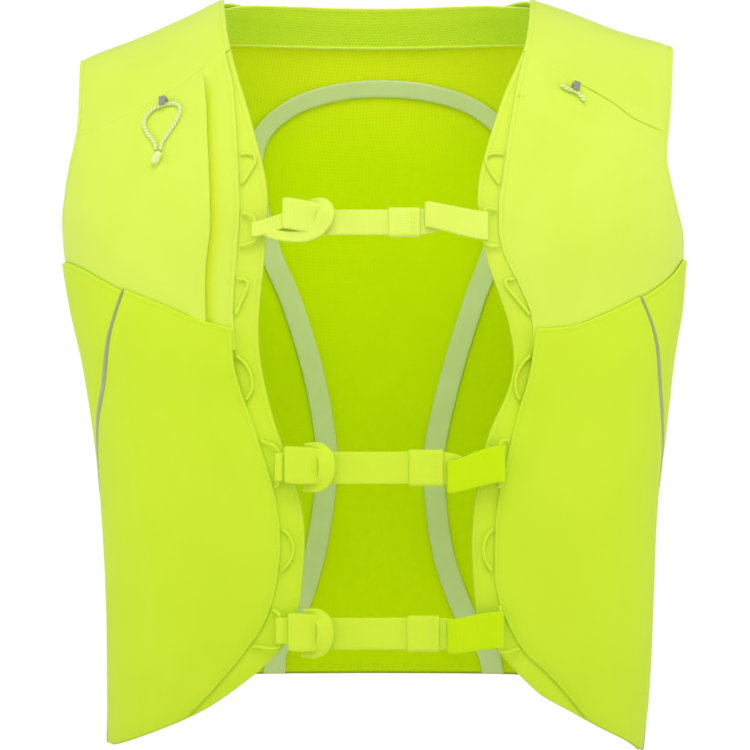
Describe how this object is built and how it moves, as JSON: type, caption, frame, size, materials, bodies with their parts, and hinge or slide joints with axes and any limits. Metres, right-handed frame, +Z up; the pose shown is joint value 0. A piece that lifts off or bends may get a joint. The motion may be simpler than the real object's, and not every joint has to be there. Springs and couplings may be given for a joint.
{
  "type": "running vest",
  "caption": "Fluorescent yellow running vest with an open front, elastic chest straps hooked on cord loops, zipped chest pockets, large stretch pockets and a mesh back.",
  "frame": {"origin": "midway between the two shoulder tops, at neck-point height, on the line where front meets back", "axes": "+Z up along the worn body, +X to the viewer's right, the front faces -Y"},
  "size_m": [0.3873, 0.2186, 0.4693],
  "materials": {
    "shell": "smooth matte stretch weave, fluorescent yellow",
    "mesh": "matte waffle mesh, deeper yellow green",
    "elastic": "matte ribbed elastic webbing",
    "tape": "satin grey green tape",
    "reflective": "grey reflective piping",
    "puller": "satin grey",
    "cord": "pale twisted cord"
  },
  "bodies": {
    "root": {"back_panel": "mesh", "back_neck_facing": "mesh", "back_tape": "tape", "front_panel_left": "shell", "front_panel_right": "shell", "shoulder_yoke_left": "shell", "shoulder_yoke_right": "shell", "chest_zip_left": "shell", "chest_zip_right": "shell", "chest_pocket_left": "shell", "chest_pocket_right": "shell", "slot_strip_left": "shell", "lower_pocket_left": "shell", "lower_pocket_right": "shell", "side_panel_left": "shell", "side_panel_right": "shell", "side_piping_left": "reflective", "side_piping_right": "reflective", "zip_puller_left": "puller", "zip_puller_right": "puller", "zip_cord_left": "cord", "zip_cord_tip_left": "cord", "edge_loop_left_1": "shell", "edge_loop_left_2": "shell", "edge_loop_left_3": "shell", "edge_loop_left_4": "shell", "edge_loop_left_5": "shell", "edge_loop_left_6": "shell", "edge_loop_left_7": "shell", "edge_loop_right_1": "shell", "edge_loop_right_2": "shell", "edge_loop_right_3": "shell", "edge_loop_right_4": "shell", "edge_loop_right_5": "shell", "edge_loop_right_6": "shell", "edge_loop_right_7": "shell", "strap_top_fold_left": "elastic", "strap_top_keeper_left": "elastic", "strap_top_band": "elastic", "strap_top_sleeve_right": "elastic", "strap_top_tab_right": "elastic", "strap_middle_fold_left": "elastic", "strap_middle_keeper_left": "elastic", "strap_middle_band": "elastic", "strap_middle_sleeve_right": "elastic", "strap_middle_tab_right": "elastic", "strap_bottom_fold_left": "elastic", "strap_bottom_keeper_left": "elastic", "strap_bottom_band": "elastic", "strap_bottom_sleeve_right": "elastic", "strap_bottom_tab_right": "elastic"}
  },
  "joints": []
}
